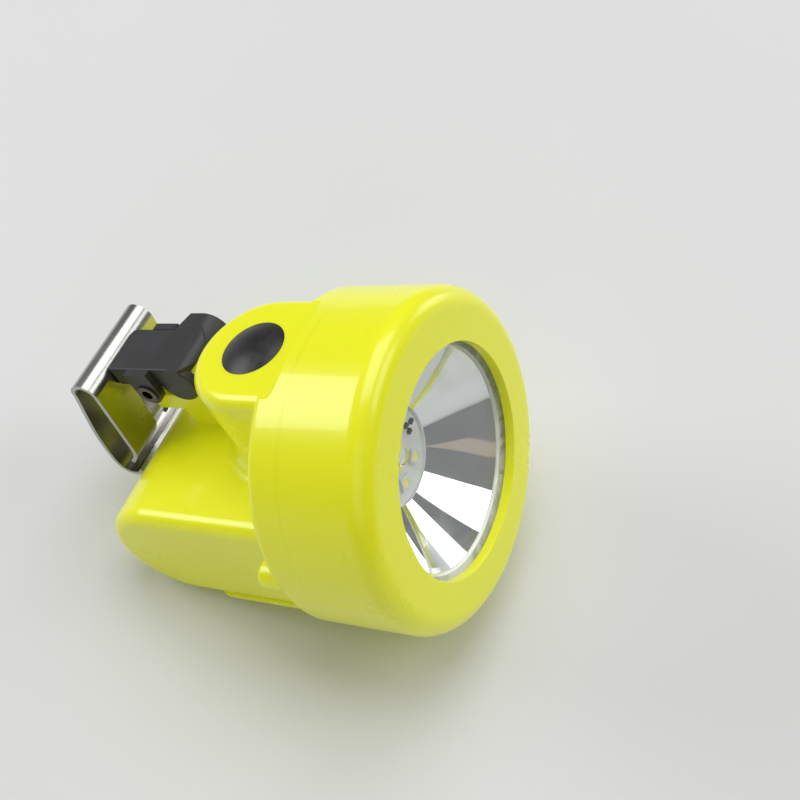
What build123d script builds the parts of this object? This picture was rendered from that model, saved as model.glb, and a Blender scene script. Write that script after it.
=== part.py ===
"""Cordless miner's cap lamp, in millimetres, lying on a table with its nose up.

The lamp is drawn along its own axes. `back` is the distance behind the bezel's front plane, `up` is
the height above the optical axis, and X points to the lamp's left. The lamp lies on the flange's
lower edge and on the battery case's round back, and the table is Z = 0.
"""

import math
import os

from build123d import *

os.makedirs("parts", exist_ok=True)

# ---- driving dimensions ----
rest_tilt = 24.0  # nose-up angle of the lamp on the table, degrees
wall = 1.8
running_gap = 0.05  # radial clearance of a turning or sliding fit
touch_gap = 0.1  # clearance between neighbouring pieces
tiny = 0.01  # tolerance of the edge selections
root = 1.0  # how far a boss or a cut runs into its neighbour

# bezel, lens and optics
bezel_r = 33.0
bezel_depth = 17.97
bezel_round = 4.0
bezel_bore_r = 29.45
aperture_r = 22.5
aperture_round = 1.2
aperture_depth = 2.0
lens_r = 28.6
lens_thickness = 2.0
lens_bevel = 0.3
gasket_thickness = 0.6
gasket_bore_r = 21.8
reflector_rim_r = 21.3
reflector_base_r = 10.0
reflector_base_back = 14.5
reflector_skin = 1.0
reflector_flange = 1.1
reflector_collar = 0.8
bowl_bulge = 0.15  # how far the bowl's arc stands off a plain cone
seal_back = 16.0
seal_wire_r = 0.6
seal_depth = 0.5

# housing
neck_r = 29.35
neck_bore_r = 25.0
flange_r = 33.0
flange_front = 18.0
flange_back = 25.2
flange_round = 2.0
bore_back = 19.8
case_half_width = 27.2
case_half_height = 13.3
case_round_back = 58.5
case_front = 20.5
case_edge_round = 2.8
bay_front = 24.4
turret_r = 13.3
turret_back = 31.4
turret_up = 30.8
turret_edge_round = 2.6
turret_foot_round = 3.6
turret_bore_r = 11.1
turret_roof = 2.6
rim_land = 2.5  # width of the flange that still stands above the turret's flat top
rim_blend = 1.8
shoulder_up = 18.6
shoulder_r = 10.2
passage_half_width = 8.0
passage_top = 20.0
passage_bottom = -12.0
lock_right = 30.2
lock_up = 2.5
lock_boss_r = 2.8
lock_boss_back = 28.8
lock_boss_round = 0.9
lock_screw_r = 0.6
lock_head_r = 1.6
lock_head = 1.4
lock_bite = 1.2  # how far the lock screw enters the bezel
lock_head_sink = 0.2
lock_key_r = 0.8
lock_key = 0.8

# push button
button_r = 6.4
button_dome = 1.3
dome_knee = 0.62  # where the dome's profile is sampled, as parts of its radius and height
dome_knee_height = 0.62
button_travel = 1.0
button_flange_r = 8.2
button_flange = 1.4
plunger_r = 2.1
guide_up = 24.4
guide_thickness = 1.2
guide_skirt = 1.2
switch_size = 8.0
switch_top = 22.0
stem_r = 1.7
stem_length = 2.4

# hinge, bracket and hook
hinge_back = 50.2
hinge_up = 25.6
hinge_pin_r = 1.5
lug_half_width = 3.0
lug_r = 3.2
lug_front = 45.0
lug_shoulder = 20.4
lug_lean = math.radians(30)  # where the lug's front slope meets its round head
lug_rear = 56.5
nose_top = 19.5
nose_bottom = 15.4
nose_back = 63.6
nose_round = 1.6
knuckle_r = 4.4
knuckle_left = 10.0  # ends of the bracket's barrel on the lamp's left and right
knuckle_right = 5.5
knuckle_cap = 0.8  # closed end of the right-hand knuckle
washer_thickness = 0.5
washer_r = 4.0
hood_start = 150.0  # where the bracket's hood over the lug begins, degrees from straight back
shoulder_back = 53.0
waist_back = 54.5
tail_half_width = 5.5
tail_back = 66.0
tail_bottom = 25.6
bracket_top = 30.0
tail_corner = 1.2
bracket_edge = 0.5
cheek_half_gap = 5.3
cheek_thickness = 1.6
cheek_r = 2.9
clip_pin_back = 57.6
clip_pin_up = 24.6
clip_pin_r = 1.5
clip_head_r = 2.2
clip_head = 0.4
clip_recess_r = 1.15
clip_recess = 1.6
hook_half_width = 11.2
tongue_half_width = 5.2
sheet = 0.9
eye_r = 2.2
tongue_up = 25.1
strap_gap = 2.6  # half-width of the slot in the hook's front leg
strap_top = 24.2
rivet_back = 63.2
rivet_side = 3.0
rivet_r = 1.1
rivet_head_r = 1.8
rivet_head = 0.8
rivet_top = 29.0
pin_bevel = 0.3
hood_reach = 7.5
hood_left = 8.6
hood_front = 45.8
hood_arc_r = 9.2
hood_arc_back = 55.0
hood_round = 2.5
slot_back_top = 69.6
slot_back_low = (73.6, 5.0)
tongue_end = 66.9
front_curl = ((69.4, 10.5), (70.6, 8.2), (72.5, 6.5))
front_curl_tangents = ((0.3, -1), (0.75, -0.66))
rear_leg = ((73.3, 24.5), (76.4, 15.2), (77.75, 8.0), (77.1, 3.4), (75.2, 2.3), (72.3, 3.5))

# battery and electronics
cell_r = 9.15
cell_half_length = 24.4
cell_backs = (41.8, 60.4)
cell_round = 0.6
tab_half_width = 3.0
tab_thickness = 0.2
cradle_side = 12.0
cradle_width = 5.0
cradle_front = 34.0
cradle_back = 67.0
cradle_top = -8.0
pcm_up = 7.0
pcm_thickness = 0.8
pcm_front = 42.0
pcm_back = 56.0
pcm_half_width = 15.0
board_thickness = 1.6
led_board_r = 18.0
led_ring_r = 6.0
led_ring_count = 5
led_ring_angle = 232.0
led_ring_sweep = 240.0
side_led_size = 2.8
side_led_height = 0.7
phosphor_r = 1.0
phosphor_height = 0.6
main_led_size = 5.0
main_led_height = 0.7
main_led_dome_r = 2.0
chip_width = 1.1
chip_length = 0.8
chip_height = 0.6
chip_spots = ((-6.3, 1.6), (-6.3, -0.1), (-8.1, 0.8))
board_screw_ring = 16.2
board_screw_count = 3
board_screw_angle = 30.0
board_screw_r = 0.9
board_screw_head_r = 1.5
board_screw_head = 0.9
board_screw_reach = 4.0
sink_screw_ring = 22.4
sink_screw_count = 4
sink_screw_angle = 45.0
sink_screw_r = 1.2
sink_screw_head_r = 2.1
sink_screw_head = 1.3
sink_screw_reach = 23.6
sink_groove = 1.2
sink_groove_width = 1.6
sink_groove_radii = (12.0, 16.0)
driver_board_r = 10.9
ring_thickness = 1.1
ring_bore_r = 9.6
lead_r = 0.5
lead_side = 0.65
lead_up = 14.2
lead_hole_r = 1.3
lead_bend = 0.9
led_pad_up = 16.6
led_lead_back = 26.0
battery_lead_back = 36.5
battery_lead_lefts = (2.0, 4.0)
jack_lead_left = 8.0
jack_lead_offset = 1.8
# (left, back), (width, length, height) of the parts hanging under the driver board
driver_part_list = (
    ((-4.2, 33.5), (5.0, 5.0, 2.4)),
    ((1.0, 31.5), (3.0, 3.0, 1.0)),
    ((5.2, 30.0), (2.0, 3.0, 1.2)),
    ((-1.5, 38.5), (3.0, 1.6, 0.8)),
)

# belly cover
opening_half_width = 24.7
opening_front = 31.4
opening_back = 50.6
cover_front = 27.2
cover_back = 55.0
cover_half_width = 26.5
cover_corner = 3.0
cover_edge = 0.8
seal_thickness = 0.5
cover_bottom = -18.7
cover_plug_gap = 0.3
cover_boss_r = 2.0
cover_boss_height = 3.0
cover_screw_r = 0.9
cover_screw_head_r = 1.7
cover_screw_head = 0.8
cover_screw_reach = 4.0
cover_screw_side = 21.0
cover_screw_inset = 2.3
cover_screw_sink = 0.2
cover_screw_key_r = 0.8
cover_screw_key = 0.4
cover_seal_inset = 1.5
cover_plug = 2.0

# charging socket with its dust flap, on the lamp's left side
jack_back = 28.9
jack_body_r = 3.6
jack_nose_r = 3.3
jack_bore_r = 2.8
jack_bore_depth = 10.2
jack_pin_r = 1.0
jack_root_r = 0.7
jack_pin_sink = 1.7
jack_inner_end = 14.0
flap_r = 3.4
flap_thickness = 1.5
flap_plug_r = 2.2
flap_plug = 1.4
flap_axis_back = 35.4
flap_axis_out = 1.3  # hinge axis outside the case wall
flap_barrel_r = 1.1
flap_barrel_half = 1.8
flap_pin_r = 0.6
ear_r = 1.2
anchor_back = 38.6
anchor_end = 40.8
anchor_front = 37.0
anchor_base = 0.9
anchor_half = 3.1
anchor_stud_r = 1.1

# ---- derived places ----
tilt = math.radians(rest_tilt)
BACK = Vector(0, math.cos(tilt), -math.sin(tilt))
UP = Vector(0, math.sin(tilt), math.cos(tilt))
LEFT = Vector(1, 0, 0)
flange_round_back = flange_back - flange_round
flange_round_up = flange_round - flange_r
floor_drop = flange_round_back * math.sin(tilt) - flange_round_up * math.cos(tilt) + flange_round
# the case's mid-height that puts its round back on the table together with the flange
case_up = (case_half_height + case_round_back * math.sin(tilt) - floor_drop) / math.cos(tilt)
deck_up = case_up + case_half_height
belly_up = case_up - case_half_height
hook_bend_back = 69.3
hook_bend_up = 28.0
hook_bend_r = 3.2
rear_reach = hook_bend_back * math.cos(tilt) + hook_bend_up * math.sin(tilt) + hook_bend_r
front_reach = (bezel_r - bezel_round) * math.sin(tilt) + bezel_round * (1 - math.cos(tilt))
FACE = Vector(0, (front_reach - rear_reach) / 2, floor_drop)
optical_axis = Axis(FACE, BACK)

lens_back = aperture_depth + lens_thickness
rim_back = lens_back + gasket_thickness
flange_ring_back = rim_back + reflector_flange
neck_front = flange_ring_back + touch_gap
board_front = reflector_base_back + reflector_collar
bowl_middle_back = (rim_back + reflector_base_back) / 2
bowl_middle_r = (reflector_rim_r + reflector_base_r) / 2
bowl_shell = bowl_bulge + reflector_skin
sink_front = board_front + board_thickness
roof_up = turret_up - turret_roof
bay_half_width = case_half_width - wall
opening_middle = (opening_front + opening_back) / 2
cover_top = belly_up - seal_thickness
cover_screw_spots = [
    (left, back)
    for left in (-cover_screw_side, cover_screw_side)
    for back in (opening_front - cover_screw_inset, opening_back + cover_screw_inset)
]
cap_bottom = roof_up - touch_gap - button_flange
plunger_bottom = guide_up - guide_thickness - touch_gap
stem_well_bottom = plunger_bottom - stem_length - button_travel - touch_gap
cradle_bottom = belly_up + wall + touch_gap
cradle_round_r = case_half_height - wall - touch_gap
cradle_heel_up = case_up - math.sqrt(cradle_round_r**2 - (cradle_back - case_round_back) ** 2)
cradle_round_angle = math.asin((cradle_back - case_round_back) / cradle_round_r) / 2
cradle_round_middle = (
    case_round_back + cradle_round_r * math.sin(cradle_round_angle),
    case_up - cradle_round_r * math.cos(cradle_round_angle),
)
led_lead_run = (
    (board_front - lead_r, led_pad_up),
    (board_front - lead_r, lead_up),
    (led_lead_back, lead_up),
    (led_lead_back, shoulder_up - board_thickness),
)
battery_lead_run = (
    (pcm_front, pcm_up + pcm_thickness / 2),
    (battery_lead_back, pcm_up + pcm_thickness / 2),
    (battery_lead_back, shoulder_up - board_thickness),
)
jack_lead_run = (
    (-jack_inner_end, case_up),
    (-jack_lead_left, case_up),
    (-jack_lead_left, shoulder_up - board_thickness),
)
flap_out = case_half_width + touch_gap
flap_axis_left = case_half_width + flap_axis_out
hood_angle = math.radians(hood_start)
hood_underside = (
    hinge_back + hood_reach * math.cos(hood_angle),
    hinge_up + hood_reach * math.sin(hood_angle),
)
clip_pin_end = cheek_half_gap + cheek_thickness
bend_r = hook_bend_r - sheet / 2


def point(left, back, up):
    """A point given along the lamp's own axes."""
    return FACE + LEFT * left + BACK * back + UP * up


def side(left=0.0):
    """A plane along the lamp, seen from its left: local x is back and local y is up."""
    return Plane(origin=point(left, 0, 0), x_dir=BACK, z_dir=LEFT)


def level(up):
    """A plane parallel to the deck: local x is left and local y is back."""
    return Plane(origin=point(0, 0, up), x_dir=LEFT, z_dir=UP)


def across(back):
    """A plane square to the optical axis, facing back: local x is right and local y is up."""
    return Plane(origin=point(0, back, 0), x_dir=LEFT * -1, z_dir=BACK)


def back_of(shape):
    """How far behind the bezel's front plane a shape's centre is."""
    return (shape.center() - FACE).dot(BACK)


def up_of(shape):
    """How high above the optical axis a shape's centre is."""
    return (shape.center() - FACE).dot(UP)


# ---- housing: battery case, head flange and button turret in one moulding ----
with BuildPart() as housing:
    with BuildSketch(side(-case_half_width)):
        with BuildLine():
            Line((case_round_back, belly_up), (case_front, belly_up))
            Line((case_front, belly_up), (case_front, deck_up))
            Line((case_front, deck_up), (case_round_back, deck_up))
            ThreePointArc(
                (case_round_back, deck_up),
                (case_round_back + case_half_height, case_up),
                (case_round_back, belly_up),
            )
        make_face()
    extrude(amount=2 * case_half_width)
    outline = housing.edges().filter_by(Axis.X, reverse=True)
    rims = outline.group_by(Axis.X)[0] + outline.group_by(Axis.X)[-1]
    front_edges = housing.faces().sort_by(Axis((0, 0, 0), BACK))[0].edges()
    fillet(rims - front_edges, radius=case_edge_round)

    with BuildSketch(level(deck_up)):
        with Locations((0, turret_back)):
            Circle(turret_r)
        with Locations((0, (case_front + turret_back) / 2)):
            Rectangle(2 * turret_r, turret_back - case_front)
    extrude(amount=turret_up - deck_up)
    turret_front = housing.faces().sort_by(Axis((0, 0, 0), BACK))[0].edges()
    top_rim = housing.faces().sort_by(Axis((0, 0, 0), UP))[-1].edges() - turret_front
    fillet(top_rim, radius=turret_edge_round)

    # soft foot where the turret meets the deck
    foot_edges = housing.edges().filter_by(
        lambda e: abs(up_of(e) - deck_up) < tiny
        and abs(e.center().X) < turret_r + tiny
        and back_of(e) > case_front + tiny
    )
    fillet(foot_edges, radius=turret_foot_round)

    # head: threaded neck and the flange behind it
    with BuildSketch(side()):
        with BuildLine():
            Polyline(
                (flange_back, 0),
                (neck_front, 0),
                (neck_front, neck_r),
                (flange_front, neck_r),
                (flange_front, flange_r),
                (flange_back, flange_r),
                close=True,
            )
        face = make_face()
        fillet(face.vertices().sort_by(SortBy.DISTANCE)[-1], radius=flange_round)
    revolve(axis=optical_axis)

    # the turret's flat top runs forward over the flange, with a soft rise to its rim
    with BuildSketch(side(-turret_r)):
        with BuildLine():
            Polyline(
                (flange_front + rim_land, turret_up),
                (flange_front + rim_land, flange_r + root),
                (flange_back + root, flange_r + root),
                (flange_back + root, turret_up),
                close=True,
            )
        flat = make_face()
        fillet(flat.vertices().group_by(Axis.X)[0].sort_by(Axis.Y)[0], radius=rim_blend)
    extrude(amount=2 * turret_r, mode=Mode.SUBTRACT)

    # hinge lug behind the turret, with a stop nose under the bracket's tail
    with BuildSketch(side(-lug_half_width)):
        with BuildLine():
            Polyline(
                (lug_front, deck_up - root),
                (lug_front, lug_shoulder),
                (hinge_back - lug_r * math.cos(lug_lean), hinge_up - lug_r * math.sin(lug_lean)),
                (hinge_back + lug_r, hinge_up),
                (lug_rear, nose_top),
                (nose_back, nose_top),
                (nose_back, nose_bottom),
                (lug_rear, nose_bottom),
                (lug_rear, deck_up - root),
                close=True,
            )
        nose = make_face()
        fillet(nose.vertices().sort_by(Axis.X)[-2:], radius=nose_round)
        with Locations((hinge_back, hinge_up)):
            Circle(lug_r)
    extrude(amount=2 * lug_half_width)

    # boss of the bezel's lock screw
    with BuildSketch(side(-lock_right)):
        with BuildLine():
            Polyline(
                (flange_back - wall, lock_up),
                (lock_boss_back, lock_up),
                (lock_boss_back, lock_up + lock_boss_r),
                (flange_back - wall, lock_up + lock_boss_r),
                close=True,
            )
        boss_profile = make_face()
        fillet(boss_profile.vertices().sort_by(Axis.X)[-2:].sort_by(Axis.Y)[-1], radius=lock_boss_round)
    revolve(axis=Axis(point(-lock_right, 0, lock_up), BACK))

    # head bore
    with BuildSketch(across(neck_front)):
        Circle(neck_bore_r)
    extrude(amount=bore_back - neck_front, mode=Mode.SUBTRACT)

    # battery bay
    with BuildSketch(side(-bay_half_width)):
        with BuildLine():
            Line((case_round_back, belly_up + wall), (bay_front, belly_up + wall))
            Line((bay_front, belly_up + wall), (bay_front, deck_up - wall))
            Line((bay_front, deck_up - wall), (case_round_back, deck_up - wall))
            ThreePointArc(
                (case_round_back, deck_up - wall),
                (case_round_back + case_half_height - wall, case_up),
                (case_round_back, belly_up + wall),
            )
        make_face()
    extrude(amount=2 * bay_half_width, mode=Mode.SUBTRACT)

    # wiring passage from the head to the bay and the turret
    with BuildSketch(across(bore_back - root)):
        with Locations((0, (passage_top + passage_bottom) / 2)):
            Rectangle(2 * passage_half_width, passage_top - passage_bottom)
    extrude(amount=bay_front - bore_back + 2 * root, mode=Mode.SUBTRACT)

    # turret bore, open to the bay, with the shoulder that the driver board is pushed up against
    with BuildSketch(level(deck_up - 2 * wall)):
        with Locations((0, turret_back)):
            Circle(turret_bore_r)
    extrude(amount=shoulder_up - deck_up + 2 * wall, mode=Mode.SUBTRACT)
    with BuildSketch(level(shoulder_up)):
        with Locations((0, turret_back)):
            Circle(shoulder_r)
    extrude(amount=roof_up - shoulder_up, mode=Mode.SUBTRACT)
    with BuildSketch(level(roof_up)):
        with Locations((0, turret_back)):
            Circle(button_r + running_gap)
    extrude(amount=turret_roof, mode=Mode.SUBTRACT)

    # belly opening and the screw bosses beside it
    with BuildSketch(level(belly_up)):
        with Locations((0, opening_middle)):
            Rectangle(2 * opening_half_width, opening_back - opening_front)
    extrude(amount=wall, mode=Mode.SUBTRACT)
    with BuildSketch(level(belly_up + wall)):
        with Locations(*cover_screw_spots):
            Circle(cover_boss_r)
    extrude(amount=cover_boss_height)
    with BuildSketch(level(belly_up)):
        with Locations(*cover_screw_spots):
            Circle(cover_screw_r)
    extrude(amount=cover_screw_reach, mode=Mode.SUBTRACT)

    # holes for the hinge pin, the charging socket and the socket cover's anchor
    with BuildSketch(side(-lug_half_width)):
        with Locations((hinge_back, hinge_up)):
            Circle(hinge_pin_r)
    extrude(amount=2 * lug_half_width, mode=Mode.SUBTRACT)
    with BuildSketch(side(bay_half_width)):
        with Locations((jack_back, case_up)):
            Circle(jack_nose_r)
        with Locations((anchor_back, case_up)):
            Circle(anchor_stud_r)
    extrude(amount=wall, mode=Mode.SUBTRACT)

    # holes for the lock screw and the heat sink's screws
    with BuildSketch(across(flange_front)):
        with Locations((lock_right, lock_up)):
            Circle(lock_screw_r)
    extrude(amount=lock_boss_back - flange_front, mode=Mode.SUBTRACT)
    with BuildSketch(across(lock_boss_back - lock_head)):
        with Locations((lock_right, lock_up)):
            Circle(lock_head_r)
    extrude(amount=lock_head, mode=Mode.SUBTRACT)
    with BuildSketch(across(bore_back)):
        with PolarLocations(sink_screw_ring, sink_screw_count, start_angle=sink_screw_angle):
            Circle(sink_screw_r)
    extrude(amount=sink_screw_reach - bore_back, mode=Mode.SUBTRACT)
housing.part.label = "housing"
export_step(housing.part, "parts/housing.step")

# ---- bezel, lens, gasket and seal ----
with BuildPart() as bezel:
    with BuildSketch(side()):
        with BuildLine():
            Polyline(
                (0, aperture_r),
                (0, bezel_r),
                (bezel_depth, bezel_r),
                (bezel_depth, bezel_bore_r),
                (aperture_depth, bezel_bore_r),
                (aperture_depth, aperture_r),
                close=True,
            )
        ring = make_face()
        corners = ring.vertices().group_by(Axis.X)[0].sort_by(Axis.Y)
        fillet(corners[-1], radius=bezel_round)
        fillet(corners[0], radius=aperture_round)
    revolve(axis=optical_axis)
    with BuildSketch(across(bezel_depth - lock_bite)):
        with Locations((lock_right, lock_up)):
            Circle(lock_screw_r)
    extrude(amount=lock_bite, mode=Mode.SUBTRACT)
    with BuildSketch(side()):
        with Locations((seal_back, bezel_bore_r)):
            Rectangle(2 * seal_wire_r, 2 * seal_depth)
    revolve(axis=optical_axis, mode=Mode.SUBTRACT)
bezel.part.label = "bezel"
export_step(bezel.part, "parts/bezel.step")

with BuildPart() as bezel_seal:
    with BuildSketch(side()):
        with Locations((seal_back, (neck_r + bezel_bore_r + seal_depth) / 2)):
            Rectangle(2 * seal_wire_r, bezel_bore_r + seal_depth - neck_r)
    revolve(axis=optical_axis)
bezel_seal.part.label = "bezel_seal"
export_step(bezel_seal.part, "parts/bezel_seal.step")

with BuildPart() as lens:
    with BuildSketch(across(aperture_depth)):
        Circle(lens_r)
    extrude(amount=lens_thickness)
    chamfer(lens.edges(), length=lens_bevel)
lens.part.label = "lens"
export_step(lens.part, "parts/lens.step")

with BuildPart() as lens_gasket:
    with BuildSketch(across(lens_back)):
        Circle(lens_r)
        Circle(gasket_bore_r, mode=Mode.SUBTRACT)
    extrude(amount=gasket_thickness)
lens_gasket.part.label = "lens_gasket"
export_step(lens_gasket.part, "parts/lens_gasket.step")

# ---- reflector and light source ----
with BuildPart() as reflector:
    with BuildSketch(side()):
        with BuildLine():
            ThreePointArc(
                (rim_back, reflector_rim_r),
                (bowl_middle_back + bowl_bulge, bowl_middle_r + bowl_bulge),
                (reflector_base_back, reflector_base_r),
            )
            Polyline(
                (reflector_base_back, reflector_base_r),
                (board_front, reflector_base_r),
                (board_front, reflector_base_r + reflector_skin),
            )
            ThreePointArc(
                (board_front, reflector_base_r + reflector_skin),
                (bowl_middle_back + bowl_shell, bowl_middle_r + bowl_shell),
                (flange_ring_back, reflector_rim_r + reflector_skin),
            )
            Polyline(
                (flange_ring_back, reflector_rim_r + reflector_skin),
                (flange_ring_back, lens_r),
                (rim_back, lens_r),
                (rim_back, reflector_rim_r),
            )
        make_face()
    revolve(axis=optical_axis)
reflector.part.label = "reflector"
export_step(reflector.part, "parts/reflector.step")

with BuildPart() as led_board:
    with BuildSketch(across(board_front)):
        Circle(led_board_r)
        with PolarLocations(board_screw_ring, board_screw_count, start_angle=board_screw_angle):
            Circle(board_screw_r, mode=Mode.SUBTRACT)
        with Locations((0, lead_up)):
            Circle(lead_hole_r, mode=Mode.SUBTRACT)
    extrude(amount=board_thickness)
led_board.part.label = "led_board"
export_step(led_board.part, "parts/led_board.step")

with BuildPart() as main_led:
    with BuildSketch(across(board_front - main_led_height)):
        Rectangle(main_led_size, main_led_size)
    extrude(amount=main_led_height)
main_led.part.label = "main_led"
export_step(main_led.part, "parts/main_led.step")

with BuildPart() as main_led_dome:
    with BuildSketch(side()):
        with BuildLine():
            Polyline(
                (board_front - main_led_height, main_led_dome_r),
                (board_front - main_led_height, 0),
                (board_front - main_led_height - main_led_dome_r, 0),
            )
            RadiusArc(
                (board_front - main_led_height - main_led_dome_r, 0),
                (board_front - main_led_height, main_led_dome_r),
                main_led_dome_r,
            )
        make_face()
    revolve(axis=optical_axis)
main_led_dome.part.label = "main_led_dome"
export_step(main_led_dome.part, "parts/main_led_dome.step")

with BuildPart() as side_leds:
    with BuildSketch(across(board_front - side_led_height)):
        with PolarLocations(led_ring_r, led_ring_count, led_ring_angle, led_ring_sweep, endpoint=True):
            Rectangle(side_led_size, side_led_size)
            Circle(phosphor_r, mode=Mode.SUBTRACT)
    extrude(amount=side_led_height)
side_leds.part.label = "side_leds"
export_step(side_leds.part, "parts/side_leds.step")

with BuildPart() as led_phosphors:
    with BuildSketch(across(board_front - phosphor_height)):
        with PolarLocations(led_ring_r, led_ring_count, led_ring_angle, led_ring_sweep, endpoint=True):
            Circle(phosphor_r)
    extrude(amount=phosphor_height)
led_phosphors.part.label = "led_phosphors"
export_step(led_phosphors.part, "parts/led_phosphors.step")

with BuildPart() as led_board_parts:
    with BuildSketch(across(board_front - chip_height)):
        with Locations(*chip_spots):
            Rectangle(chip_width, chip_length)
    extrude(amount=chip_height)
led_board_parts.part.label = "led_board_parts"
export_step(led_board_parts.part, "parts/led_board_parts.step")

with BuildPart() as board_screws:
    with BuildSketch(across(board_front - board_screw_head)):
        with PolarLocations(board_screw_ring, board_screw_count, start_angle=board_screw_angle):
            Circle(board_screw_head_r)
    extrude(amount=board_screw_head)
    with BuildSketch(across(board_front)):
        with PolarLocations(board_screw_ring, board_screw_count, start_angle=board_screw_angle):
            Circle(board_screw_r)
    extrude(amount=board_screw_reach)
board_screws.part.label = "board_screws"
export_step(board_screws.part, "parts/board_screws.step")

with BuildPart() as heat_sink:
    with BuildSketch(across(sink_front)):
        Circle(neck_bore_r - touch_gap)
        with PolarLocations(sink_screw_ring, sink_screw_count, start_angle=sink_screw_angle):
            Circle(sink_screw_r, mode=Mode.SUBTRACT)
        with PolarLocations(board_screw_ring, board_screw_count, start_angle=board_screw_angle):
            Circle(board_screw_r, mode=Mode.SUBTRACT)
        with Locations((0, lead_up)):
            Circle(lead_hole_r, mode=Mode.SUBTRACT)
    extrude(amount=bore_back - sink_front)
    for groove_r in sink_groove_radii:
        with BuildSketch(across(bore_back - sink_groove)):
            Circle(groove_r)
            Circle(groove_r - sink_groove_width, mode=Mode.SUBTRACT)
        extrude(amount=sink_groove, mode=Mode.SUBTRACT)
heat_sink.part.label = "heat_sink"
export_step(heat_sink.part, "parts/heat_sink.step")

with BuildPart() as heat_sink_screws:
    with BuildSketch(across(sink_front - sink_screw_head)):
        with PolarLocations(sink_screw_ring, sink_screw_count, start_angle=sink_screw_angle):
            Circle(sink_screw_head_r)
    extrude(amount=sink_screw_head)
    with BuildSketch(across(sink_front)):
        with PolarLocations(sink_screw_ring, sink_screw_count, start_angle=sink_screw_angle):
            Circle(sink_screw_r)
    extrude(amount=sink_screw_reach - sink_front)
heat_sink_screws.part.label = "heat_sink_screws"
export_step(heat_sink_screws.part, "parts/heat_sink_screws.step")

# ---- push button in the turret ----
with BuildPart() as button_cap:
    with BuildSketch(level(roof_up - touch_gap - button_flange)):
        with Locations((0, turret_back)):
            Circle(button_flange_r)
    extrude(amount=button_flange)
    with BuildSketch(level(roof_up - touch_gap)):
        with Locations((0, turret_back)):
            Circle(button_r)
    extrude(amount=turret_up - roof_up + touch_gap)
    with BuildSketch(side()):
        with BuildLine():
            Polyline(
                (turret_back - button_r, turret_up),
                (turret_back, turret_up),
                (turret_back, turret_up + button_dome),
            )
            ThreePointArc(
                (turret_back, turret_up + button_dome),
                (turret_back - button_r * dome_knee, turret_up + button_dome * dome_knee_height),
                (turret_back - button_r, turret_up),
            )
        make_face()
    revolve(axis=Axis(point(0, turret_back, 0), UP))
button_cap.part.label = "button_cap"
export_step(button_cap.part, "parts/button_cap.step")

with BuildPart() as button_plunger:
    with BuildSketch(level(plunger_bottom)):
        with Locations((0, turret_back)):
            Circle(plunger_r)
    extrude(amount=cap_bottom - plunger_bottom)
button_plunger.part.label = "button_plunger"
export_step(button_plunger.part, "parts/button_plunger.step")

with BuildPart() as button_guide:
    with BuildSketch(level(shoulder_up)):
        with Locations((0, turret_back)):
            Circle(shoulder_r - touch_gap)
    extrude(amount=guide_up - shoulder_up)
    with BuildSketch(level(shoulder_up)):
        with Locations((0, turret_back)):
            Circle(shoulder_r - touch_gap - guide_skirt)
    extrude(amount=guide_up - guide_thickness - shoulder_up, mode=Mode.SUBTRACT)
    with BuildSketch(level(shoulder_up)):
        with Locations((0, turret_back)):
            Circle(plunger_r + running_gap)
    extrude(amount=guide_up - shoulder_up, mode=Mode.SUBTRACT)
button_guide.part.label = "button_guide"
export_step(button_guide.part, "parts/button_guide.step")

with BuildPart() as tact_switch:
    with BuildSketch(level(shoulder_up)):
        with Locations((0, turret_back)):
            Rectangle(switch_size, switch_size)
    extrude(amount=switch_top - shoulder_up)
    with BuildSketch(level(stem_well_bottom)):
        with Locations((0, turret_back)):
            Circle(stem_r + running_gap)
    extrude(amount=switch_top - stem_well_bottom, mode=Mode.SUBTRACT)
tact_switch.part.label = "tact_switch"
export_step(tact_switch.part, "parts/tact_switch.step")

with BuildPart() as switch_stem:
    with BuildSketch(level(plunger_bottom - stem_length)):
        with Locations((0, turret_back)):
            Circle(stem_r)
    extrude(amount=stem_length)
switch_stem.part.label = "switch_stem"
export_step(switch_stem.part, "parts/switch_stem.step")

with BuildPart() as driver_board:
    with BuildSketch(level(shoulder_up - board_thickness)):
        with Locations((0, turret_back)):
            Circle(driver_board_r)
    extrude(amount=board_thickness)
driver_board.part.label = "driver_board"
export_step(driver_board.part, "parts/driver_board.step")

with BuildPart() as driver_parts:
    for (left, back), (width, length, height) in driver_part_list:
        with BuildSketch(level(shoulder_up - board_thickness - height)):
            with Locations((left, back)):
                Rectangle(width, length)
        extrude(amount=height)
driver_parts.part.label = "driver_parts"
export_step(driver_parts.part, "parts/driver_parts.step")

with BuildPart() as board_ring:
    with BuildSketch(level(shoulder_up - board_thickness - ring_thickness)):
        with Locations((0, turret_back)):
            Circle(turret_bore_r)
            Circle(ring_bore_r, mode=Mode.SUBTRACT)
        with Locations((0, case_front)):
            Rectangle(2 * passage_half_width, 2 * (bay_front - case_front), mode=Mode.SUBTRACT)
    extrude(amount=ring_thickness)
board_ring.part.label = "board_ring"
export_step(board_ring.part, "parts/board_ring.step")

# ---- battery pack in the case ----
with BuildPart() as battery_cells:
    for cell_back in cell_backs:
        with BuildSketch(side(-cell_half_length)):
            with Locations((cell_back, case_up)):
                Circle(cell_r)
        extrude(amount=2 * cell_half_length)
    cell_rims = battery_cells.edges().filter_by(GeomType.CIRCLE)
    fillet(cell_rims, radius=cell_round)
battery_cells.part.label = "battery_cells"
export_step(battery_cells.part, "parts/battery_cells.step")

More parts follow.
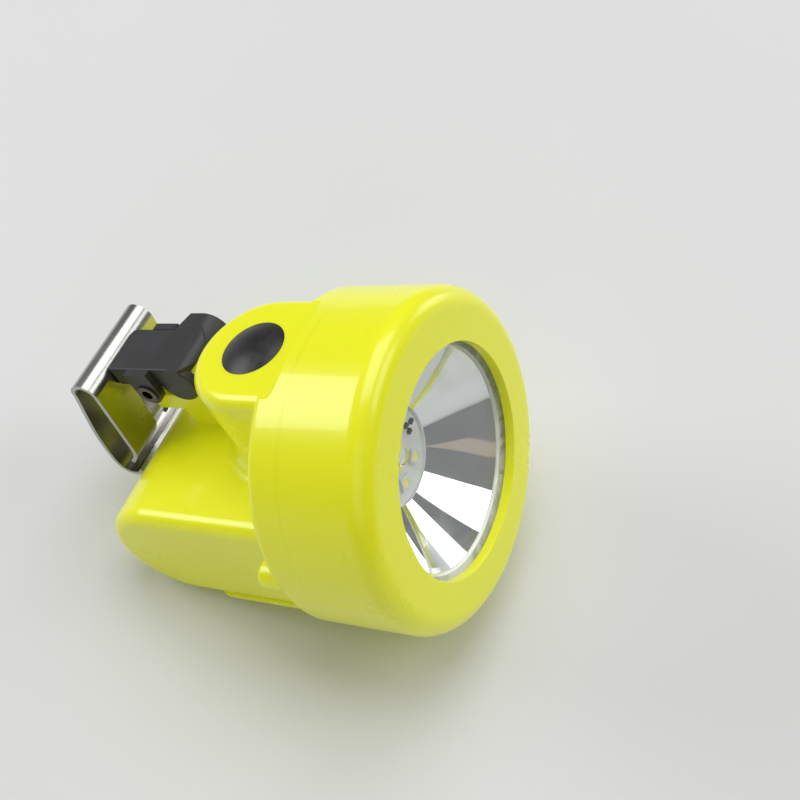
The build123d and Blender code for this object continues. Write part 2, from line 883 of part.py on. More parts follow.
with BuildPart() as battery_tabs:
    for left in (-cell_half_length - tab_thickness, cell_half_length):
        with BuildSketch(side(left)):
            with Locations(((cell_backs[0] + cell_backs[1]) / 2, case_up)):
                SlotCenterToCenter(cell_backs[1] - cell_backs[0], 2 * tab_half_width)
        extrude(amount=tab_thickness)
battery_tabs.part.label = "battery_tabs"
export_step(battery_tabs.part, "parts/battery_tabs.step")

with BuildPart() as battery_cradle:
    for left in (-cradle_side - cradle_width / 2, cradle_side - cradle_width / 2):
        with BuildSketch(side(left)):
            with BuildLine():
                Line((case_round_back, cradle_bottom), (cradle_front, cradle_bottom))
                Line((cradle_front, cradle_bottom), (cradle_front, cradle_top))
                Line((cradle_front, cradle_top), (cradle_back, cradle_top))
                Line((cradle_back, cradle_top), (cradle_back, cradle_heel_up))
                ThreePointArc(
                    (cradle_back, cradle_heel_up),
                    cradle_round_middle,
                    (case_round_back, cradle_bottom),
                )
            make_face()
            with Locations(*[(cell_back, case_up) for cell_back in cell_backs]):
                Circle(cell_r + touch_gap, mode=Mode.SUBTRACT)
        extrude(amount=cradle_width)
battery_cradle.part.label = "battery_cradle"
export_step(battery_cradle.part, "parts/battery_cradle.step")

with BuildPart() as protection_board:
    with BuildSketch(level(pcm_up)):
        with Locations((0, (pcm_front + pcm_back) / 2)):
            Rectangle(2 * pcm_half_width, pcm_back - pcm_front)
    extrude(amount=pcm_thickness)
protection_board.part.label = "protection_board"
export_step(protection_board.part, "parts/protection_board.step")

with BuildPart() as battery_leads:
    for left in battery_lead_lefts:
        with BuildLine(side(left)) as run:
            FilletPolyline(*battery_lead_run, radius=lead_bend)
        with BuildSketch(Plane(origin=run.line @ 0, z_dir=run.line % 0)):
            Circle(lead_r)
        sweep(path=run.line)
battery_leads.part.label = "battery_leads"
export_step(battery_leads.part, "parts/battery_leads.step")

with BuildPart() as led_leads:
    for left in (-lead_side, lead_side):
        with BuildLine(side(left)) as run:
            FilletPolyline(*led_lead_run, radius=lead_bend)
        with BuildSketch(Plane(origin=run.line @ 0, z_dir=run.line % 0)):
            Circle(lead_r)
        sweep(path=run.line)
led_leads.part.label = "led_leads"
export_step(led_leads.part, "parts/led_leads.step")

# ---- belly cover ----
with BuildPart() as bottom_cover:
    with BuildSketch(level(cover_bottom)):
        with Locations((0, (cover_front + cover_back) / 2)):
            RectangleRounded(2 * cover_half_width, cover_back - cover_front, cover_corner)
    extrude(amount=cover_top - cover_bottom)
    lower_rim = bottom_cover.faces().sort_by(Axis((0, 0, 0), UP))[0].edges()
    fillet(lower_rim, radius=cover_edge)
    with BuildSketch(level(cover_top)):
        with Locations((0, opening_middle)):
            Rectangle(
                2 * (opening_half_width - cover_plug_gap),
                opening_back - opening_front - 2 * cover_plug_gap,
            )
    extrude(amount=cover_plug)
    with BuildSketch(level(cover_bottom)):
        with Locations(*cover_screw_spots):
            Circle(cover_screw_r)
    extrude(amount=cover_top - cover_bottom, mode=Mode.SUBTRACT)
    with BuildSketch(level(cover_bottom)):
        with Locations(*cover_screw_spots):
            Circle(cover_screw_head_r)
    extrude(amount=cover_screw_head, mode=Mode.SUBTRACT)
bottom_cover.part.label = "bottom_cover"
export_step(bottom_cover.part, "parts/bottom_cover.step")

with BuildPart() as cover_seal:
    with BuildSketch(level(cover_top)):
        with Locations((0, (cover_front + cover_back) / 2)):
            RectangleRounded(
                2 * (cover_half_width - cover_seal_inset),
                cover_back - cover_front - 2 * cover_seal_inset,
                cover_corner,
            )
        with Locations((0, opening_middle)):
            Rectangle(2 * opening_half_width, opening_back - opening_front, mode=Mode.SUBTRACT)
        with Locations(*cover_screw_spots):
            Circle(cover_screw_r, mode=Mode.SUBTRACT)
    extrude(amount=seal_thickness)
cover_seal.part.label = "cover_seal"
export_step(cover_seal.part, "parts/cover_seal.step")

with BuildPart() as cover_screws:
    with BuildSketch(level(cover_bottom + cover_screw_sink)):
        with Locations(*cover_screw_spots):
            Circle(cover_screw_head_r)
    extrude(amount=cover_screw_head - cover_screw_sink)
    with BuildSketch(level(cover_bottom + cover_screw_head)):
        with Locations(*cover_screw_spots):
            Circle(cover_screw_r)
    extrude(amount=belly_up + cover_screw_reach - cover_bottom - cover_screw_head)
    with BuildSketch(level(cover_bottom + cover_screw_sink)):
        with Locations(*cover_screw_spots):
            RegularPolygon(cover_screw_key_r, 6)
    extrude(amount=cover_screw_key, mode=Mode.SUBTRACT)
cover_screws.part.label = "cover_screws"
export_step(cover_screws.part, "parts/cover_screws.step")

with BuildPart() as lock_screw:
    with BuildSketch(across(lock_boss_back - lock_head)):
        with Locations((lock_right, lock_up)):
            Circle(lock_head_r)
    extrude(amount=lock_head - lock_head_sink)
    with BuildSketch(across(bezel_depth - lock_bite)):
        with Locations((lock_right, lock_up)):
            Circle(lock_screw_r)
    extrude(amount=lock_boss_back - lock_head - bezel_depth + lock_bite)
    with BuildSketch(across(lock_boss_back - lock_head_sink)):
        with Locations((lock_right, lock_up)):
            RegularPolygon(lock_key_r, 6)
    extrude(amount=-lock_key, mode=Mode.SUBTRACT)
lock_screw.part.label = "lock_screw"
export_step(lock_screw.part, "parts/lock_screw.step")

# ---- charging socket and dust flap ----
with BuildPart() as charge_jack:
    with BuildSketch(side(jack_inner_end)):
        with Locations((jack_back, case_up)):
            Circle(jack_body_r)
    extrude(amount=bay_half_width - jack_inner_end)
    with BuildSketch(side(bay_half_width)):
        with Locations((jack_back, case_up)):
            Circle(jack_nose_r)
    extrude(amount=wall)
    with BuildSketch(side(case_half_width)):
        with Locations((jack_back, case_up)):
            Circle(jack_bore_r)
    extrude(amount=-jack_bore_depth, mode=Mode.SUBTRACT)
    with BuildSketch(side(jack_inner_end)):
        with Locations((jack_back, case_up)):
            Circle(jack_root_r)
    extrude(amount=jack_bore_depth, mode=Mode.SUBTRACT)
charge_jack.part.label = "charge_jack"
export_step(charge_jack.part, "parts/charge_jack.step")

with BuildPart() as jack_pin:
    with BuildSketch(side(jack_inner_end)):
        with Locations((jack_back, case_up)):
            Circle(jack_root_r)
    extrude(amount=case_half_width - jack_bore_depth - jack_inner_end)
    with BuildSketch(side(case_half_width - jack_bore_depth)):
        with Locations((jack_back, case_up)):
            Circle(jack_pin_r)
    extrude(amount=jack_bore_depth - jack_pin_sink)
    tip = jack_pin.edges().group_by(Axis.X)[-1]
    fillet(tip, radius=jack_pin_r / 2)
jack_pin.part.label = "jack_pin"
export_step(jack_pin.part, "parts/jack_pin.step")

with BuildPart() as jack_leads:
    for back in (jack_back - jack_lead_offset, jack_back + jack_lead_offset):
        with BuildLine(across(back)) as run:
            FilletPolyline(*jack_lead_run, radius=lead_bend)
        with BuildSketch(Plane(origin=run.line @ 0, z_dir=run.line % 0)):
            Circle(lead_r)
        sweep(path=run.line)
jack_leads.part.label = "jack_leads"
export_step(jack_leads.part, "parts/jack_leads.step")

with BuildPart() as dust_flap:
    with BuildSketch(side(flap_out)):
        with Locations((jack_back, case_up)):
            Circle(flap_r)
        with Locations(((jack_back + flap_axis_back) / 2, case_up)):
            Rectangle(flap_axis_back - jack_back, 2 * flap_barrel_half)
    extrude(amount=flap_thickness)
    with BuildSketch(level(case_up - flap_barrel_half)):
        with Locations((flap_axis_left, flap_axis_back)):
            Circle(flap_barrel_r)
    extrude(amount=2 * flap_barrel_half)
    with BuildSketch(side(flap_out)):
        with Locations((jack_back, case_up)):
            Circle(flap_plug_r)
    extrude(amount=-flap_plug)
    with BuildSketch(level(case_up - flap_barrel_half)):
        with Locations((flap_axis_left, flap_axis_back)):
            Circle(flap_pin_r + running_gap)
    extrude(amount=2 * flap_barrel_half, mode=Mode.SUBTRACT)
dust_flap.part.label = "dust_flap"
export_step(dust_flap.part, "parts/dust_flap.step")

with BuildPart() as flap_anchor:
    with BuildSketch(side(case_half_width)):
        with Locations(((anchor_front + anchor_end) / 2, case_up)):
            Rectangle(anchor_end - anchor_front, 2 * anchor_half)
    extrude(amount=anchor_base)
    with BuildSketch(level(case_up - anchor_half)):
        with Locations((flap_axis_left, flap_axis_back)):
            Circle(ear_r)
        with BuildLine():
            Polyline(
                (flap_axis_left + ear_r, flap_axis_back),
                (flap_axis_left - ear_r, flap_axis_back),
                (flap_axis_left - ear_r, anchor_front + anchor_base),
                (case_half_width + anchor_base, anchor_front + anchor_base),
                close=True,
            )
        make_face()
    extrude(amount=2 * anchor_half)
    with BuildSketch(level(case_up - flap_barrel_half - touch_gap)):
        with Locations((flap_axis_left, flap_axis_back)):
            Rectangle(4 * ear_r, 2 * (anchor_front - flap_axis_back))
    extrude(amount=2 * (flap_barrel_half + touch_gap), mode=Mode.SUBTRACT)
    with BuildSketch(level(case_up - anchor_half)):
        with Locations((flap_axis_left, flap_axis_back)):
            Circle(flap_pin_r, mode=Mode.ADD)
    extrude(amount=2 * anchor_half)
    with BuildSketch(side(case_half_width)):
        with Locations((anchor_back, case_up)):
            Circle(anchor_stud_r)
    extrude(amount=-wall)
flap_anchor.part.label = "flap_anchor"
export_step(flap_anchor.part, "parts/flap_anchor.step")

# ---- hinge, bracket and helmet hook ----
with BuildPart() as hinge_pin:
    with BuildSketch(side(-knuckle_right + knuckle_cap + touch_gap)):
        with Locations((hinge_back, hinge_up)):
            Circle(hinge_pin_r)
    extrude(amount=knuckle_left + knuckle_right - knuckle_cap - touch_gap)
    chamfer(hinge_pin.edges().filter_by(GeomType.CIRCLE), length=pin_bevel)
hinge_pin.part.label = "hinge_pin"
export_step(hinge_pin.part, "parts/hinge_pin.step")

with BuildPart() as hinge_washers:
    for left in (-lug_half_width - washer_thickness, lug_half_width):
        with BuildSketch(side(left)):
            with Locations((hinge_back, hinge_up)):
                Circle(washer_r)
                Circle(hinge_pin_r, mode=Mode.SUBTRACT)
        extrude(amount=washer_thickness)
hinge_washers.part.label = "hinge_washers"
export_step(hinge_washers.part, "parts/hinge_washers.step")

# the bracket's rounded hood, which reaches forward over the lug
with BuildPart() as bracket_hood:
    with BuildSketch(side(-knuckle_right)):
        with BuildLine():
            Polyline(
                (hood_front, hinge_up),
                (hood_front, bracket_top),
                (hinge_back, bracket_top),
                (hinge_back, hinge_up),
                close=True,
            )
        hood_profile = make_face()
        fillet(hood_profile.vertices().group_by(Axis.X)[0].sort_by(Axis.Y)[-1], radius=hood_round)
    extrude(amount=knuckle_right + hood_left)
    with BuildSketch(level(hinge_up)):
        with Locations((0, hood_arc_back)):
            Circle(hood_arc_r)
    extrude(amount=bracket_top - hinge_up, mode=Mode.INTERSECT)

with BuildPart() as hook_bracket:
    # barrel, head and tail
    with BuildSketch(side(-knuckle_right)):
        with Locations((hinge_back, hinge_up)):
            Circle(knuckle_r)
    extrude(amount=knuckle_left + knuckle_right)
    with BuildSketch(level(tail_bottom)):
        with BuildLine():
            Polyline(
                (knuckle_left, hinge_back),
                (knuckle_left, shoulder_back),
                (tail_half_width, waist_back),
                (tail_half_width, tail_back),
                (-tail_half_width, tail_back),
                (-knuckle_right, hinge_back),
                close=True,
            )
        plan = make_face()
        fillet(plan.vertices().group_by(Axis.Y)[-1], radius=tail_corner)
    extrude(amount=bracket_top - tail_bottom)
    end_rims = hook_bracket.edges().filter_by(
        lambda e: e.geom_type == GeomType.CIRCLE
        and (abs(e.center().X - knuckle_left) < tiny or abs(e.center().X + knuckle_right) < tiny)
    )
    fillet(end_rims, radius=bracket_edge)
    add(bracket_hood.part)

    # cheeks for the clip pin
    for left in (-cheek_half_gap - cheek_thickness, cheek_half_gap):
        with BuildSketch(side(left)):
            with Locations((clip_pin_back, clip_pin_up)):
                Circle(cheek_r)
                Rectangle(2 * cheek_r, bracket_top - clip_pin_up, align=(Align.CENTER, Align.MIN))
        extrude(amount=cheek_thickness)

    # room for the lug under the hood, the clip eye, the two pins and the rivets
    with BuildSketch(side(-lug_half_width - washer_thickness - touch_gap)):
        with Locations((hinge_back, hinge_up)):
            Circle(lug_r + touch_gap)
        with BuildLine():
            Polyline(
                (hinge_back, hinge_up),
                hood_underside,
                (hinge_back - hood_reach, hinge_up - hood_reach),
                (hinge_back + hood_reach, hinge_up - hood_reach),
                (hinge_back + hood_reach, hinge_up),
                close=True,
            )
        make_face()
    extrude(amount=2 * (lug_half_width + washer_thickness + touch_gap), mode=Mode.SUBTRACT)
    for left in (-lug_half_width - washer_thickness - touch_gap, lug_half_width):
        with BuildSketch(side(left)):
            with Locations((hinge_back, hinge_up)):
                Circle(washer_r + touch_gap)
        extrude(amount=washer_thickness + touch_gap, mode=Mode.SUBTRACT)
    with BuildSketch(side(-cheek_half_gap)):
        with Locations((clip_pin_back, clip_pin_up)):
            Circle(eye_r + touch_gap)
    extrude(amount=2 * cheek_half_gap, mode=Mode.SUBTRACT)
    with BuildSketch(side(-knuckle_right + knuckle_cap)):
        with Locations((hinge_back, hinge_up)):
            Circle(hinge_pin_r + running_gap)
    extrude(amount=knuckle_left + knuckle_right - knuckle_cap, mode=Mode.SUBTRACT)
    with BuildSketch(side(-clip_pin_end)):
        with Locations((clip_pin_back, clip_pin_up)):
            Circle(clip_pin_r)
    extrude(amount=2 * clip_pin_end, mode=Mode.SUBTRACT)
    with BuildSketch(level(tail_bottom)):
        with Locations((-rivet_side, rivet_back), (rivet_side, rivet_back)):
            Circle(rivet_r)
    extrude(amount=rivet_top - tail_bottom, mode=Mode.SUBTRACT)
hook_bracket.part.label = "hook_bracket"
export_step(hook_bracket.part, "parts/hook_bracket.step")

with BuildPart() as clip_pin:
    with BuildSketch(side(-clip_pin_end)):
        with Locations((clip_pin_back, clip_pin_up)):
            Circle(clip_pin_r)
    extrude(amount=2 * clip_pin_end)
    for left in (-clip_pin_end - clip_head, clip_pin_end):
        with BuildSketch(side(left)):
            with Locations((clip_pin_back, clip_pin_up)):
                Circle(clip_head_r)
        extrude(amount=clip_head)
    for left in (-clip_pin_end - clip_head, clip_pin_end + clip_head - clip_recess):
        with BuildSketch(side(left)):
            with Locations((clip_pin_back, clip_pin_up)):
                Circle(clip_recess_r)
        extrude(amount=clip_recess, mode=Mode.SUBTRACT)
clip_pin.part.label = "clip_pin"
export_step(clip_pin.part, "parts/clip_pin.step")

with BuildPart() as helmet_hook:
    # bent strip
    with BuildSketch(side(-hook_half_width)):
        with BuildLine():
            Spline(*front_curl, tangents=front_curl_tangents)
            Line(front_curl[0], (hook_bend_back - bend_r, hook_bend_up))
            ThreePointArc(
                (hook_bend_back - bend_r, hook_bend_up),
                (hook_bend_back, hook_bend_up + bend_r),
                (hook_bend_back + bend_r, hook_bend_up),
            )
            Spline((hook_bend_back + bend_r, hook_bend_up), *rear_leg)
        trace(line_width=sheet)
    extrude(amount=2 * hook_half_width)
    # slot between the front leg's two straps
    with BuildSketch(side(-strap_gap)):
        with BuildLine():
            Polyline(
                (tail_back, strap_top),
                (slot_back_top, strap_top),
                slot_back_low,
                (tail_back, slot_back_low[1]),
                close=True,
            )
        make_face()
    extrude(amount=2 * strap_gap, mode=Mode.SUBTRACT)
    # tongue under the tail, with the eye round the clip pin
    with BuildSketch(level(tongue_up - sheet / 2)):
        with Locations((0, (clip_pin_back + tongue_end) / 2)):
            Rectangle(2 * tongue_half_width, tongue_end - clip_pin_back)
    extrude(amount=sheet)
    with BuildSketch(side(-tongue_half_width)):
        with Locations((clip_pin_back, clip_pin_up)):
            Circle(eye_r)
    extrude(amount=2 * tongue_half_width)
    with BuildSketch(side(-tongue_half_width)):
        with Locations((clip_pin_back, clip_pin_up)):
            Circle(clip_pin_r + running_gap)
    extrude(amount=2 * tongue_half_width, mode=Mode.SUBTRACT)
    with BuildSketch(level(tongue_up - sheet)):
        with Locations((-rivet_side, rivet_back), (rivet_side, rivet_back)):
            Circle(rivet_r)
    extrude(amount=2 * sheet, mode=Mode.SUBTRACT)
helmet_hook.part.label = "helmet_hook"
export_step(helmet_hook.part, "parts/helmet_hook.step")

with BuildPart() as hook_rivets:
    with BuildSketch(level(tongue_up - sheet / 2)):
        with Locations((-rivet_side, rivet_back), (rivet_side, rivet_back)):
            Circle(rivet_r)
    extrude(amount=rivet_top - tongue_up + sheet / 2)
    with BuildSketch(level(tongue_up - sheet / 2 - rivet_head)):
        with Locations((-rivet_side, rivet_back), (rivet_side, rivet_back)):
            Circle(rivet_head_r)
    extrude(amount=rivet_head)
hook_rivets.part.label = "hook_rivets"
export_step(hook_rivets.part, "parts/hook_rivets.step")
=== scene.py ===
"""Looks of the cordless miner's cap lamp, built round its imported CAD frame. Metres, +Z up."""

import math

import bpy
from mathutils import Matrix, Vector

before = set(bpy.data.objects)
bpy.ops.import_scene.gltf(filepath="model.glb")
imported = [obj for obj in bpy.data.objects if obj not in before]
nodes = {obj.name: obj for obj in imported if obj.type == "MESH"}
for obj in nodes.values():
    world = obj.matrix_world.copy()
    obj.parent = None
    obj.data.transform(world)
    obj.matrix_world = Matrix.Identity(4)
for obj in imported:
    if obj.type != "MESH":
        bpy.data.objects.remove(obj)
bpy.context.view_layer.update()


# ---- node-tree helpers ----
def new_material(name):
    """A material with an empty tree but for its output and one Principled node."""
    m = bpy.data.materials.new(name)
    m.use_nodes = True
    tree = m.node_tree
    tree.nodes.clear()
    out = tree.nodes.new("ShaderNodeOutputMaterial")
    shader = tree.nodes.new("ShaderNodeBsdfPrincipled")
    tree.links.new(shader.outputs[0], out.inputs[0])
    return m, tree, shader


def coords(tree, scale=(1, 1, 1)):
    """Object coordinates, scaled."""
    where = tree.nodes.new("ShaderNodeTexCoord")
    scaled = tree.nodes.new("ShaderNodeMapping")
    scaled.inputs["Scale"].default_value = scale
    tree.links.new(where.outputs["Object"], scaled.inputs[0])
    return scaled.outputs[0]


def noise(tree, at, scale, detail=4, rough=0.55, distortion=0.0):
    """The grey value of a noise texture."""
    n = tree.nodes.new("ShaderNodeTexNoise")
    n.inputs["Scale"].default_value = scale
    n.inputs["Detail"].default_value = detail
    n.inputs["Roughness"].default_value = rough
    n.inputs["Distortion"].default_value = distortion
    tree.links.new(at, n.inputs["Vector"])
    return n.outputs["Fac"]


def ramp(tree, value, stops):
    """A colour ramp. Each stop is (place, colour), and a number stands for a grey."""
    r = tree.nodes.new("ShaderNodeValToRGB")
    while len(r.color_ramp.elements) < len(stops):
        r.color_ramp.elements.new(0.5)
    for element, (place, colour) in zip(r.color_ramp.elements, stops):
        element.position = place
        element.color = (*colour, 1) if isinstance(colour, tuple) else (colour, colour, colour, 1)
    tree.links.new(value, r.inputs[0])
    return r.outputs[0]


def bump(tree, shader, height, strength, distance):
    """Raises the shader's surface by the height."""
    b = tree.nodes.new("ShaderNodeBump")
    b.inputs["Strength"].default_value = strength
    b.inputs["Distance"].default_value = distance
    tree.links.new(height, b.inputs["Height"])
    tree.links.new(b.outputs[0], shader.inputs["Normal"])


def drive(tree, shader, entry, value, stops):
    """Drives one of the shader's inputs by a ramp over the value."""
    tree.links.new(ramp(tree, value, stops), shader.inputs[entry])


def give(material, *names):
    """Assigns a material to every slot of the named CAD nodes."""
    for name in names:
        data = nodes[name].data
        data.materials.clear()
        data.materials.append(material)


# ---- materials ----
def lemon_plastic():
    """Smooth fluorescent-yellow moulding with a faintly smeared gloss, and a little emission that paints
    a glow on it to stand in for light.
    """
    m, tree, s = new_material("lemon_plastic")
    at = coords(tree)
    tone = noise(tree, at, 24, 3, 0.5)
    drive(tree, s, "Base Color", tone, [(0.3, (0.865, 0.875, 0.008)), (0.7, (0.895, 0.905, 0.012))])
    smear = noise(tree, at, 60, 5, 0.6, 0.3)
    drive(tree, s, "Roughness", smear, [(0.35, 0.27), (0.75, 0.3)])
    s.inputs["Specular IOR Level"].default_value = 0.5
    s.inputs["Subsurface Weight"].default_value = 0.25
    s.inputs["Subsurface Radius"].default_value = (1.0, 0.9, 0.15)
    s.inputs["Subsurface Scale"].default_value = 0.0015
    # painted glow: a little yellow emission brightens the whole moulding as light would, though the part
    # is no lamp
    s.inputs["Emission Color"].default_value = (0.8, 0.9, 0.0, 1)
    s.inputs["Emission Strength"].default_value = 0.08
    s.inputs["Coat Weight"].default_value = 0.35
    s.inputs["Coat Roughness"].default_value = 0.06
    bump(tree, s, noise(tree, at, 1600, 3, 0.5), 0.04, 0.0001)
    return m


def black_plastic():
    """Satin moulding with a fine grain."""
    m, tree, s = new_material("black_plastic")
    at = coords(tree)
    grain = noise(tree, at, 2600, 3, 0.6)
    tone = noise(tree, at, 90, 4, 0.6)
    drive(tree, s, "Base Color", tone, [(0.3, (0.022, 0.022, 0.024)), (0.75, (0.037, 0.037, 0.041))])
    drive(tree, s, "Roughness", tone, [(0.3, 0.42), (0.7, 0.52)])
    bump(tree, s, grain, 0.22, 0.0001)
    return m


def black_rubber():
    """Smooth rubber with a trace of dust."""
    m, tree, s = new_material("black_rubber")
    at = coords(tree)
    grain = noise(tree, at, 3200, 2, 0.5)
    dust = noise(tree, at, 420, 6, 0.7, 0.6)
    drive(tree, s, "Base Color", dust, [(0.45, (0.011, 0.011, 0.011)), (0.8, (0.03, 0.03, 0.028))])
    drive(tree, s, "Roughness", dust, [(0.4, 0.34), (0.8, 0.5)])
    bump(tree, s, grain, 0.12, 0.0001)
    return m


def grey_silicone():
    """Matt silicone."""
    m, tree, s = new_material("grey_silicone")
    at = coords(tree)
    tone = noise(tree, at, 300, 4)
    drive(tree, s, "Base Color", tone, [(0.3, (0.78, 0.79, 0.77)), (0.7, (0.86, 0.87, 0.85))])
    s.inputs["Roughness"].default_value = 0.55
    bump(tree, s, noise(tree, at, 2000), 0.1, 0.0001)
    return m


def polished_steel():
    """Steel strip with fine drawn lines."""
    m, tree, s = new_material("polished_steel")
    fine = noise(tree, coords(tree, (12, 900, 900)), 1.0, 5, 0.6)
    broad = noise(tree, coords(tree), 110, 4, 0.6)
    drive(tree, s, "Base Color", broad, [(0.3, (0.42, 0.415, 0.39)), (0.7, (0.5, 0.495, 0.47))])
    drive(tree, s, "Roughness", broad, [(0.3, 0.24), (0.75, 0.29)])
    s.inputs["Metallic"].default_value = 1.0
    bump(tree, s, fine, 0.05, 0.0001)
    return m


def mirror_metal():
    """Bright metallised surface with a little haze."""
    m, tree, s = new_material("mirror_metal")
    at = coords(tree)
    haze = noise(tree, at, 140, 4, 0.6, 1.0)
    drive(tree, s, "Base Color", haze, [(0.3, (0.84, 0.85, 0.86)), (0.8, (0.9, 0.9, 0.9))])
    drive(tree, s, "Roughness", haze, [(0.45, 0.025), (0.85, 0.09)])
    s.inputs["Metallic"].default_value = 1.0
    return m


def clear_lens():
    """Clear polycarbonate that lets the lamps' light through to the reflector."""
    m, tree, s = new_material("clear_lens")
    at = coords(tree)
    film = noise(tree, at, 260, 6, 0.65, 0.5)
    drive(tree, s, "Roughness", film, [(0.4, 0.0), (0.9, 0.05)])
    s.inputs["Base Color"].default_value = (0.97, 0.985, 0.98, 1)
    s.inputs["Transmission Weight"].default_value = 1.0
    s.inputs["IOR"].default_value = 1.25
    open_shader = tree.nodes.new("ShaderNodeBsdfTransparent")
    path = tree.nodes.new("ShaderNodeLightPath")
    mix = tree.nodes.new("ShaderNodeMixShader")
    tree.links.new(path.outputs["Is Shadow Ray"], mix.inputs[0])
    tree.links.new(s.outputs[0], mix.inputs[1])
    tree.links.new(open_shader.outputs[0], mix.inputs[2])
    out = next(n for n in tree.nodes if n.type == "OUTPUT_MATERIAL")
    tree.links.new(mix.outputs[0], out.inputs[0])
    return m


def board(name, dark, light):
    """A smooth coated surface: solder mask, sleeve or nylon."""
    m, tree, s = new_material(name)
    at = coords(tree)
    tone = noise(tree, at, 500, 4)
    drive(tree, s, "Base Color", tone, [(0.3, dark), (0.7, light)])
    s.inputs["Roughness"].default_value = 0.38
    bump(tree, s, noise(tree, at, 1500), 0.08, 0.0001)
    return m


def phosphor():
    """Yellow phosphor under clear silicone."""
    m, tree, s = new_material("phosphor")
    at = coords(tree)
    tone = noise(tree, at, 1400, 3)
    drive(tree, s, "Base Color", tone, [(0.3, (0.82, 0.74, 0.12)), (0.7, (0.93, 0.88, 0.3))])
    s.inputs["Roughness"].default_value = 0.25
    s.inputs["Coat Weight"].default_value = 0.6
    return m


def metal(name, dark, light, rough):
    """Plain turned or stamped metal."""
    m, tree, s = new_material(name)
    at = coords(tree)
    tone = noise(tree, at, 220, 5, 0.6, 0.6)
    drive(tree, s, "Base Color", tone, [(0.3, dark), (0.7, light)])
    s.inputs["Roughness"].default_value = rough
    s.inputs["Metallic"].default_value = 1.0
    bump(tree, s, noise(tree, at, 1800), 0.08, 0.0001)
    return m


give(lemon_plastic(), "housing", "bezel", "bottom_cover", "dust_flap", "flap_anchor")
give(black_plastic(), "hook_bracket", "charge_jack", "tact_switch", "led_board_parts", "driver_parts")
give(black_rubber(), "button_cap", "bezel_seal", "cover_seal")
give(grey_silicone(), "lens_gasket")
give(clear_lens(), "lens", "main_led_dome")
give(mirror_metal(), "reflector")
give(polished_steel(), "helmet_hook", "hook_rivets", "hinge_pin", "cover_screws", "lock_screw",
     "heat_sink_screws", "board_screws", "board_ring", "battery_tabs")
give(metal("dark_pin", (0.1, 0.085, 0.06), (0.17, 0.14, 0.1), 0.34), "clip_pin")
give(board("white_board", (0.62, 0.64, 0.62), (0.7, 0.72, 0.7)), "led_board", "side_leds")
give(phosphor(), "led_phosphors", "main_led")
give(board("green_board", (0.012, 0.09, 0.035), (0.02, 0.14, 0.055)), "driver_board", "protection_board")
give(metal("sink_aluminium", (0.62, 0.63, 0.64), (0.72, 0.73, 0.74), 0.35), "heat_sink")
give(board("cell_sleeve", (0.02, 0.07, 0.2), (0.03, 0.1, 0.27)), "battery_cells")
give(board("nylon", (0.5, 0.5, 0.46), (0.6, 0.6, 0.56)), "button_plunger", "button_guide", "switch_stem",
     "battery_cradle", "hinge_washers")
give(board("lead_sleeve", (0.3, 0.008, 0.008), (0.42, 0.015, 0.012)), "battery_leads", "led_leads",
     "jack_leads")
give(metal("contact_brass", (0.6, 0.42, 0.15), (0.75, 0.55, 0.22), 0.25), "jack_pin")


# ---- floor, light and camera ----
def floor_material():
    """Matt studio paper."""
    m, tree, s = new_material("studio_floor")
    at = coords(tree)
    tone = noise(tree, at, 6, 3)
    drive(tree, s, "Base Color", tone, [(0.3, (0.72, 0.73, 0.725)), (0.7, (0.75, 0.755, 0.75))])
    s.inputs["Roughness"].default_value = 0.6
    return m


def sheet_floor(size):
    """A plain sheet of studio paper."""
    mesh = bpy.data.meshes.new("floor")
    h = size / 2
    mesh.from_pydata([(-h, -h, 0), (h, -h, 0), (h, h, 0), (-h, h, 0)], [], [(0, 1, 2, 3)])
    o = bpy.data.objects.new("floor", mesh)
    bpy.context.collection.objects.link(o)
    mesh.materials.append(floor_material())
    return o


floor = sheet_floor(8.0)


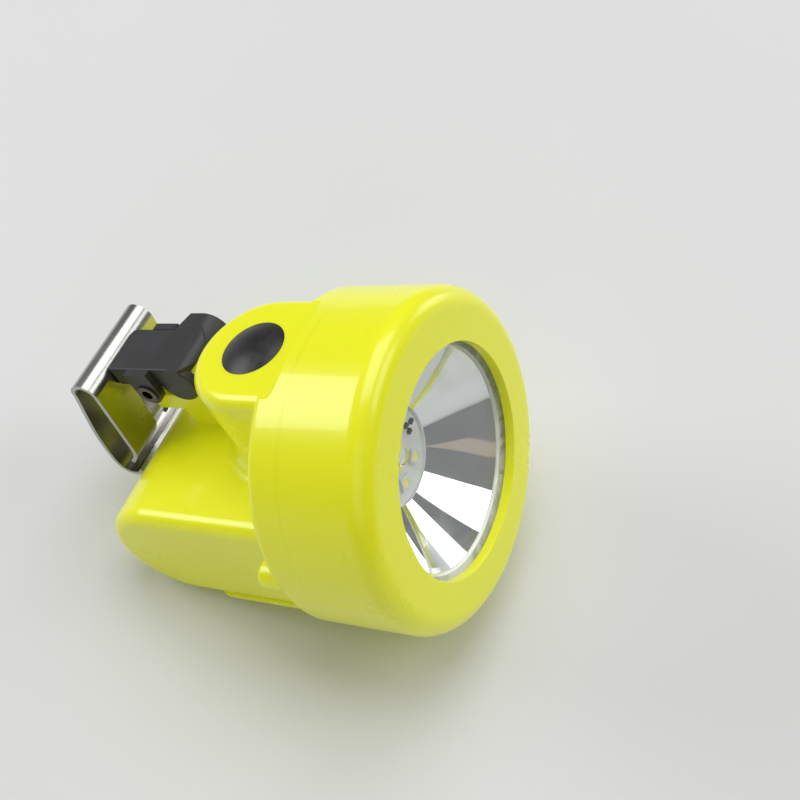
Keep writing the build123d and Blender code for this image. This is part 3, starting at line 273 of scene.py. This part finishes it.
def softbox(name, direction, distance, width, height, power, colour=(1, 1, 1), target=(0, 0, 0.03)):
    """A rectangular area lamp that looks at the target."""
    data = bpy.data.lights.new(name, "AREA")
    data.shape = "RECTANGLE"
    data.size, data.size_y = width, height
    data.energy = power
    data.color = colour
    o = bpy.data.objects.new(name, data)
    bpy.context.collection.objects.link(o)
    away = Vector(direction).normalized()
    o.location = Vector(target) + away * distance
    o.rotation_mode = "QUATERNION"
    o.rotation_quaternion = away.to_track_quat("Z", "Y")
    o.visible_camera = False
    return o


def toward(azimuth, elevation):
    """A direction from the lamp: azimuth 0 is straight ahead of it and 90 is on its left, in degrees."""
    a, e = math.radians(azimuth), math.radians(elevation)
    return math.sin(a) * math.cos(e), -math.cos(a) * math.cos(e), math.sin(e)


softbox("window", (-0.06, 0.86, 0.48), distance=0.9, width=0.48, height=0.34, power=2.4)
softbox("ceiling", (0.35, 0.1, 1.0), distance=1.5, width=1.2, height=1.2, power=13.1)
softbox("front_key", toward(28, 44), distance=1.2, width=0.62, height=0.5, power=2.5)
softbox("left_fill", toward(64, 10), distance=1.2, width=0.42, height=0.48, power=1.4)
softbox("right_fill", toward(-68, 42), distance=1.5, width=1.2, height=1.2, power=2.3)
# a dim warm strip that only shows as a brownish streak in the reflector
softbox("warm_card", toward(-24, 31), distance=1.0, width=0.1, height=0.26, power=0.02,
        colour=(1.0, 0.7, 0.42))

world = bpy.data.worlds.new("studio")
bpy.context.scene.world = world
world.use_nodes = True
world.node_tree.nodes["Background"].inputs[0].default_value = (0.93, 0.94, 0.95, 1)
world.node_tree.nodes["Background"].inputs[1].default_value = 0.2


def camera_at(eye, aim, roll, lens):
    """A camera at the eye that looks at the aim point, rolled about its own axis."""
    data = bpy.data.cameras.new("camera")
    data.sensor_width = 36.0
    data.lens = lens
    o = bpy.data.objects.new("camera", data)
    bpy.context.collection.objects.link(o)
    level = (Vector(aim) - Vector(eye)).to_track_quat("-Z", "Y").to_matrix()
    turned = level @ Matrix.Rotation(roll, 3, "Z")
    o.matrix_world = Matrix.Translation(eye) @ turned.to_4x4()
    return o


bpy.context.scene.camera = camera_at(
    eye=(-0.10301, -0.06086, 0.21252),
    aim=(0.03453, -0.00699, 0.0),
    roll=math.radians(-0.29),
    lens=48.8,
)

bpy.context.scene.view_settings.view_transform = "Standard"
